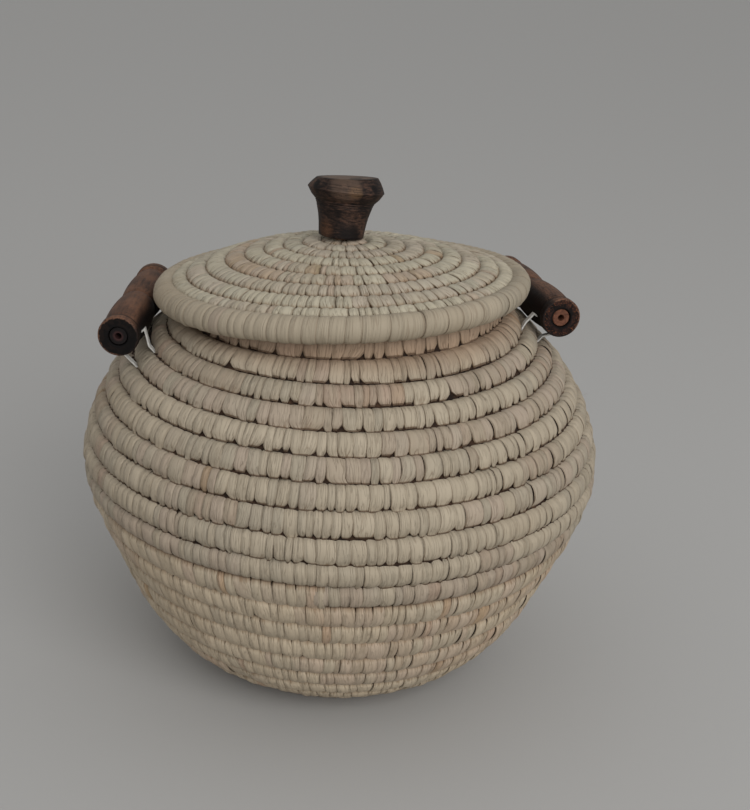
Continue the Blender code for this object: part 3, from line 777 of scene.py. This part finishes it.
def turnedWood(name, tones, patches=(), scale=620, stretch=(1.0, 0.10), marks=0.15, end=None, specks=0.0,
               wallShadeAndChar=None):
    # fine lines run round the piece from the tool
    sh = Shader(name, sheen)
    local = sh.stored("turned", "Vector")
    x, y, z = sh.split(local)
    grain = sh.noise(sh.vector(x * stretch[0], y * stretch[0], z * stretch[1]), scale, 5, 0.6)
    broad = sh.noise(local, 75, 3)
    rings = sh.noise(sh.vector(z, broad * 0.002, 0.0), 1500, 2)
    pores = sh.noise(local, 900, 2)
    color = sh.ramp(grain * 0.6 + broad * 0.5, [(place, woodLook[tone]) for place, tone in tones])
    for spot, inner, outer, tint, strength in patches:
        away = sh.distance(local, spot) + (broad - 0.5) * 0.008
        color = sh.mix((1 - away.above(inner, outer)) * strength, color, woodLook[tint])
    color = sh.mix(rings.above(0.54, 0.64) * marks, color, woodLook["char"])
    rough = 0.42 + grain * 0.3
    if end:
        # the cut end grain of a handle, dark round the core
        out = sh.distance(sh.vector(x, y, 0.0))
        collar = (z.abs() - endGrain["collar"] + (broad - 0.5) * 0.0006).abs()
        color = sh.mix((1 - collar.above(0.0003, 0.0009)) * 0.85, color, woodLook["char"])
        # painted shade, with some char: darker on the side that faces the wall
        sideways = x * wallShadeAndChar[0] + y * wallShadeAndChar[1] + (broad - 0.5) * 0.010
        color = sh.mix(sideways.above(wallShadeAndChar[2], wallShadeAndChar[3]) * 0.92, color, woodLook["char"])
        ragged = (sh.noise(local, 500, 2) - 0.5) * 0.0022
        endward = z.abs().above(*endGrain["face"]) * (1 - (out + ragged).above(*endGrain["outer"]))
        color = sh.mix(endward * 0.95, color, woodLook[end])
        color = sh.mix(endward * sh.noise(local, 260, 3).above(0.44, 0.56) * 0.9, color, woodLook["black"])
        bright = endward * out.above(*endGrain["bright"]) * sh.noise(local, 1200, 1).above(0.58, 0.64)
        color = sh.mix(bright * specks, color, woodLook["ember"])
        color = sh.mix(endward * (1 - out.above(*endGrain["dark"])) * 0.9, color, woodLook["black"])
        color = sh.mix(1 - out.above(*endGrain["bore"]), color, woodLook["black"])
        rough = rough + endward * 0.25
    more = specks * 0.12
    color = sh.mix(pores.above(0.60 - more, 0.72 - more) * 0.7, color, woodLook["char"])
    sh.set(Base_Color=color, Roughness=rough)
    sh.bump(grain * 0.4 + rings * 0.7, 0.00035, 0.7)
    return sh.material


def turnedPiece(name, outline, steps=96):
    # spins an outline of (radius, height) once round
    bm = bmesh.new()
    verts = [bm.verts.new((max(r, 0), 0, z)) for r, z in outline]
    edges = [bm.edges.new(pair) for pair in zip(verts, verts[1:])]
    bmesh.ops.spin(bm, geom=verts + edges, cent=(0, 0, 0), axis=(0, 0, 1), angle=tau, steps=steps,
                   use_merge=True)
    bmesh.ops.remove_doubles(bm, verts=bm.verts, dist=0.000002)
    bmesh.ops.recalc_face_normals(bm, faces=bm.faces)
    return addPiece(name, meshFrom(bm, name))


def cutEyes(item, size, inward, heights):
    # slots right through the wood for the ties, on the side of the core that faces the wall
    for height in heights:
        bm = bmesh.new()
        place = Matrix.Translation((0, -inward, height)) @ Matrix.Diagonal((*size, 1))
        bmesh.ops.create_cube(bm, size=1, matrix=place)
        eye = addPiece("eye", meshFrom(bm, "eye"))
        cutting = item.modifiers.new("eye", "BOOLEAN")
        cutting.object = eye
        cutting.operation = "DIFFERENCE"
        settledMesh(item)
        bpy.data.objects.remove(eye, do_unlink=True)


def standTurned(item, matrix, look, rides, replaced):
    # the look is placed by where each point was before the piece was stood in place
    mesh = item.data
    flat = np.empty(len(mesh.vertices) * 3, dtype=np.float32)
    mesh.vertices.foreach_get("co", flat)
    layer = mesh.attributes.new("turned", "FLOAT_VECTOR", "POINT")
    layer.data.foreach_set("vector", flat)
    mesh.transform(matrix)
    mesh.materials.clear()
    mesh.materials.append(look)
    mesh.shade_smooth()
    mesh.set_sharp_from_angle(angle=math.radians(sharpFrom))
    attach(item, rides)
    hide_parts(*replaced)
    print("turned", item.name, len(mesh.polygons), "faces")


# Knob

knob = {
    "foot": (-0.0082, 0.0007), "leanRight": 2.8, "leanBack": 8.0,
    "height": 0.0373, "base": 0.0133, "neck": (0.0147, 0.011), "waist": (0.0174, 0.0203),
    "flare": (0.0203, 0.0240), "widest": (0.0228, 0.0280), "top": 0.0182, "crown": 0.0003,
    "lines": ((0.0212, 0.00035), (0.0199, 0.0003), (0.0186, 0.0003), (0.0128, 0.00025)),
    "lineWidth": 0.00028, "footEdge": (0.0006, 0.0004), "topSwell": (0.0003, 0.0002),
    "holeRadius": 0.0048, "holeDepth": 0.02, "cutLeft": 0.0016, "cutBack": 0.0005,
}


def knobOutline():
    knots = [(knob["base"], 0.0), knob["neck"], knob["waist"], knob["flare"], knob["widest"]]
    side = curveThrough([Vector(knot) for knot in knots], 14)
    edgeIn, edgeUp = knob["footEdge"]
    line = [(0, knob["holeDepth"]), (knob["holeRadius"], knob["holeDepth"]), (knob["holeRadius"], 0),
            (knob["base"] - edgeIn, 0)]
    for spot in side:
        cutIn = sum(depth * math.exp(-((spot.y - height) / knob["lineWidth"]) ** 2)
                    for height, depth in knob["lines"])
        line.append((spot.x - cutIn, max(spot.y, edgeUp)))
    edge = Vector((knob["top"], knob["height"] - knob["crown"]))
    for step in range(1, 9):
        swell = Vector(knob["topSwell"]) * math.sin(math.pi * step / 8)
        line.append(side[-1].lerp(edge, step / 8) + swell)
    for step in range(1, 7):
        share = 1 - step / 6
        line.append((knob["top"] * share, knob["height"] - knob["crown"] * share * share))
    return line


knobLean = Matrix.Rotation(math.radians(knob["leanRight"]), 4, "Y") @ Matrix.Rotation(
    -math.radians(knob["leanBack"]), 4, "X")
knobTones = ((0.42, "char"), (0.52, "dark"), (0.66, "brown"), (0.80, "warm"))
knobWood = turnedWood("knobWood", knobTones, scale=1000, stretch=(0.30, 1.0), marks=0.5, patches=(
    ((0.0, 0.0, 0.0365), 0.0120, 0.0185, "tan", 0.8),
    ((0.0, -0.0190, 0.0310), 0.0060, 0.0110, "tan", 0.42),
    ((-0.010, -0.010, 0.0050), 0.003, 0.0070, "rust", 0.4),
    ((0.006, -0.0212, 0.0285), 0.0018, 0.0052, "gold", 0.35),
    ((0.006, -0.012, 0.0020), 0.005, 0.0090, "char", 0.9),
    ((-0.0165, -0.0115, 0.0300), 0.0016, 0.0040, "char", 0.95),
    ((0.0150, -0.0130, 0.0305), 0.0014, 0.0036, "char", 0.95),
))


# Handles and their ties

handle = {
    "length": 0.108, "radius": 0.0123, "collar": 0.008, "step": 0.0004, "groove": 0.0022, "round": 0.0008,
    "bevel": 0.0004, "endFlat": 0.0006, "grooveFoot": (0.0002, 0.0003), "waist": 0.0022,
    "bore": 0.0057, "core": 0.0052, "coreHole": 0.0019, "holeBevel": 0.0003, "recess": 0.0006,
    "eye": (0.0286, 0.0017, 0.0040), "eyeInset": 0.0135, "eyeInward": 0.008,
    "tieBends": (0.0045, 0.006), "tieLong": 0.004, "tieCuts": 5,
    "left": {"centre": (-0.1287, -0.00165, 0.21947), "hinge": (-0.1154, -0.002, 0.20598),
             "along": (0.02618, 0.99966, 0.0)},
    "right": {"centre": (0.11313, 0.03975, 0.23288), "hinge": (0.10266, 0.03619, 0.21713),
              "along": (-0.25004, 0.96682, -0.05234)},
}


def handleOutline():
    half, collar = handle["length"] / 2, handle["radius"] - handle["step"]
    end, bevel, groove = half - handle["collar"], handle["bevel"], handle["groove"]
    footIn, footUp = handle["grooveFoot"]
    side = [(handle["bore"] + bevel, half), (collar - handle["round"] - handle["endFlat"], half)]
    for step in range(5):
        bend = math.radians(90 - step * 22.5)
        side.append((collar - handle["round"] * (1 - math.cos(bend)),
                     half - handle["round"] * (1 - math.sin(bend))))
    side += [(collar, end + groove + bevel), (collar - bevel, end + groove),
             (collar - groove + footIn, end + footUp), (collar - groove, end)]
    for step in range(1, 29):
        swell = math.sin(math.pi * min(step, 27.6) / 28) ** 0.5
        side.append((handle["radius"] - handle["waist"] * (1 - swell), end * (1 - step / 28)))
    side[-1] = (handle["radius"] - handle["waist"], 0.0)
    deep = handle["length"] - bevel * 2
    bore = [(handle["bore"], half - bevel - step * deep / 10) for step in range(11)]
    return side + [(r, -z) for r, z in reversed(side[:-1])] + bore[::-1] + [side[0]]


def coreOutline():
    half = handle["length"] / 2 - handle["recess"]
    outer, hole = handle["core"], handle["coreHole"]
    bevel, holeBevel = handle["bevel"], handle["holeBevel"]
    side = [(hole, half - holeBevel), (hole + holeBevel, half), (outer - bevel, half), (outer, half - bevel)]
    return side + [(r, -z) for r, z in reversed(side)] + [side[0]]


def handleMatrix(place):
    along = Vector(place["along"]).normalized()
    out = Vector(place["centre"]) - Vector(place["hinge"])
    out = (out - along * out.dot(along)).normalized()
    return Matrix.Translation(place["centre"]) @ Matrix((out.cross(along), out, along)).transposed().to_4x4()


def plainWood(name, dark, pale, where="turned", heart=None):
    # bare wood: on a turned piece the grain is placed by the piece's own attribute
    sh = Shader(name, sheen)
    local = sh.stored("turned", "Vector") if where == "turned" else sh.node("TexCoord").outputs[where]
    grain = sh.noise(local, 700, 4)
    color = sh.ramp(grain, ((0.3, dark), (0.7, pale)))
    if heart:
        x, y, _ = sh.split(local)
        out = sh.distance(sh.vector(x, y, 0.0))
        color = sh.mix(1 - (out + (grain - 0.5) * 0.0016).above(0.0018, 0.0038), color, heart)
    sh.set(Base_Color=color, Roughness=0.7)
    sh.bump(grain, 0.0002)
    return sh.material


def whiteStrip(name):
    sh = Shader(name)
    grain = sh.noise(sh.node("TexCoord").outputs["Object"], 420, 3)
    sh.set(Base_Color=sh.ramp(grain, ((0.3, rgb(176, 174, 168)), (0.7, rgb(214, 213, 208)))), Roughness=0.6)
    return sh.material


def tieStrip(name, look):
    # the imported tie strip, which bends where it leaves the wall to follow its handle, with its long edges
    # cut into shorter ones
    bm = bmesh.new()
    bm.from_mesh(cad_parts[name].data)
    bmesh.ops.remove_doubles(bm, verts=bm.verts, dist=0.00001)
    bmesh.ops.dissolve_limit(bm, angle_limit=math.radians(1), verts=bm.verts, edges=bm.edges)
    long = [edge for edge in bm.edges if edge.calc_length() > handle["tieLong"]]
    bmesh.ops.subdivide_edges(bm, edges=long, cuts=handle["tieCuts"], use_grid_fill=True)
    strip = addPiece(name + "_strip", meshFrom(bm, name + "_strip"))
    strip.data.materials.append(look)
    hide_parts(name)
    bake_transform(strip)


def knobSeat():
    # how far along its axis the knob's foot just clears the lid
    foot = Vector((*knob["foot"], crownHeight))
    heights = []
    for share in (0.0, 0.5, 1.0):
        for step in range(24):
            turn = tau * step / 24
            flat = knobLean @ Vector((math.cos(turn), math.sin(turn), 0)) * knob["base"] * share
            surface = float(lidHeight(np.array(foot.x + flat.x), np.array(foot.y + flat.y)))
            heights.append((surface - foot.z - flat.z) / (knobLean @ Vector((0, 0, 1))).z)
    return Matrix.Translation(foot) @ knobLean @ Matrix.Translation((0, 0, max(heights) + seatGap))


def slantedKnob():
    # the top was cut off a little low towards the left and the back
    made = turnedPiece("turnedKnob", knobOutline())
    for vert in made.data.vertices:
        share = max(0, vert.co.z - knob["widest"][1]) / (knob["height"] - knob["widest"][1])
        left, back = 1 - vert.co.x / knob["top"], 1 + vert.co.y / knob["top"]
        vert.co.z -= share * (knob["cutLeft"] * left + knob["cutBack"] * back)
    return made


standTurned(slantedKnob(), knobSeat(), knobWood, "lid", ("knob",))
# darker patches on the side of each handle that faces the wall: painted shade, with some char
wallSideShadeAndChar = (
    ((0.0, -0.0125, -0.034), 0.012, 0.021, "char", 0.9),
    ((0.0, -0.0125, 0.004), 0.010, 0.019, "char", 0.8),
)
handleWood = {
    "left": turnedWood("leftWood", ((0.32, "dark"), (0.44, "brown"), (0.68, "warm")), wallSideShadeAndChar,
                       end="black", wallShadeAndChar=(-0.30, -0.95, 0.0025, 0.0078)),
    "right": turnedWood("rightWood", ((0.34, "dark"), (0.46, "brown"), (0.62, "warm")), wallSideShadeAndChar,
                        end="redDark", specks=0.7, wallShadeAndChar=(0.30, -0.95, -0.0048, 0.0008)),
}
coreWood = {
    "left": plainWood("leftCoreWood", rgb(20, 17, 17), rgb(28, 23, 23), heart=rgb(58, 37, 36)),
    "right": plainWood("rightCoreWood", rgb(76, 48, 36), rgb(116, 76, 58)),
}
stripLook = whiteStrip("tieStrip")
for side in ("left", "right"):
    spot, rides, node = handle[side], side + "_handle", "handle_" + side
    wood = turnedPiece(side + "Handle", handleOutline(), 80)
    inset = handle["length"] / 2 - handle["eyeInset"]
    cutEyes(wood, handle["eye"], handle["eyeInward"], (-inset, inset))
    standTurned(wood, handleMatrix(spot), handleWood[side], rides, (node,))
    core = turnedPiece(side + "Core", coreOutline(), 48)
    standTurned(core, handleMatrix(spot), coreWood[side], rides, (node + "_core",))
    for end in ("front", "rear"):
        tieStrip("tie_" + side + "_" + end, stripLook)
pegWood = plainWood("pegWood", rgb(92, 66, 48), rgb(134, 100, 74), "Object")
for node in ("knob_peg", "peg_washer"):
    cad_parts[node].data.materials.clear()
    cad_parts[node].data.materials.append(pegWood)
print("handles done")


# Floor, light and camera

studio = {
    "floor": rgb(166, 165, 163), "floorSize": 24, "sky": 0.66, "key": 31, "keySize": 1.8,
    "keyFrom": (0.95, -1.85, 1.35), "keyAt": (0, 0, 0.15), "backdrop": rgb(160, 160, 158),
    "lens": 62.22, "sensor": 36, "cameraAt": (0.0195, -0.8069, 0.4990),
    "cameraAxes": ((0.997327, 0.027878, 0.067536), (-0.073064, 0.380530, 0.921869), (0.0, -0.92434, 0.38155)),
}

bm = bmesh.new()
bmesh.ops.create_grid(bm, x_segments=1, y_segments=1, size=studio["floorSize"] / 2)
floor = addPiece("floor", meshFrom(bm, "floor"))
floorLook = Shader("paleFloor")
floorLook.set(Base_Color=studio["floor"], Roughness=0.9)
floor.data.materials.append(floorLook.material)

world = bpy.data.worlds.new("softSky")
bpy.context.scene.world = world
world.use_nodes = True
tree = world.node_tree
sky = tree.nodes["Background"]
sky.inputs["Color"].default_value = (1, 1, 1, 1)
sky.inputs["Strength"].default_value = studio["sky"]
seen = tree.nodes.new("ShaderNodeBackground")
seen.inputs["Color"].default_value = studio["backdrop"]
path = tree.nodes.new("ShaderNodeLightPath")
direct = path.outputs["Is Camera Ray"]
for ray in ("Is Glossy Ray", "Is Transmission Ray"):
    either = tree.nodes.new("ShaderNodeMath")
    either.operation = "MAXIMUM"
    tree.links.new(direct, either.inputs[0])
    tree.links.new(path.outputs[ray], either.inputs[1])
    direct = either.outputs[0]
mixed = tree.nodes.new("ShaderNodeMixShader")
tree.links.new(direct, mixed.inputs[0])
tree.links.new(sky.outputs[0], mixed.inputs[1])
tree.links.new(seen.outputs[0], mixed.inputs[2])
tree.links.new(mixed.outputs[0], tree.nodes["World Output"].inputs[0])

lamp = bpy.data.lights.new("key", "AREA")
lamp.shape = "DISK"
lamp.size = studio["keySize"]
lamp.energy = studio["key"]
key = addPiece("key", lamp)
key.location = studio["keyFrom"]
shining = Vector(studio["keyFrom"]) - Vector(studio["keyAt"])
key.rotation_euler = shining.to_track_quat("Z", "Y").to_euler()

cameraData = bpy.data.cameras.new("camera")
cameraData.lens = studio["lens"]
cameraData.sensor_width = studio["sensor"]
camera = addPiece("camera", cameraData)
facing = Matrix(studio["cameraAxes"]).transposed().to_4x4()
camera.matrix_world = Matrix.Translation(studio["cameraAt"]) @ facing
bpy.context.scene.camera = camera
bpy.context.scene.view_settings.view_transform = "Standard"

print("floor, light and camera done")
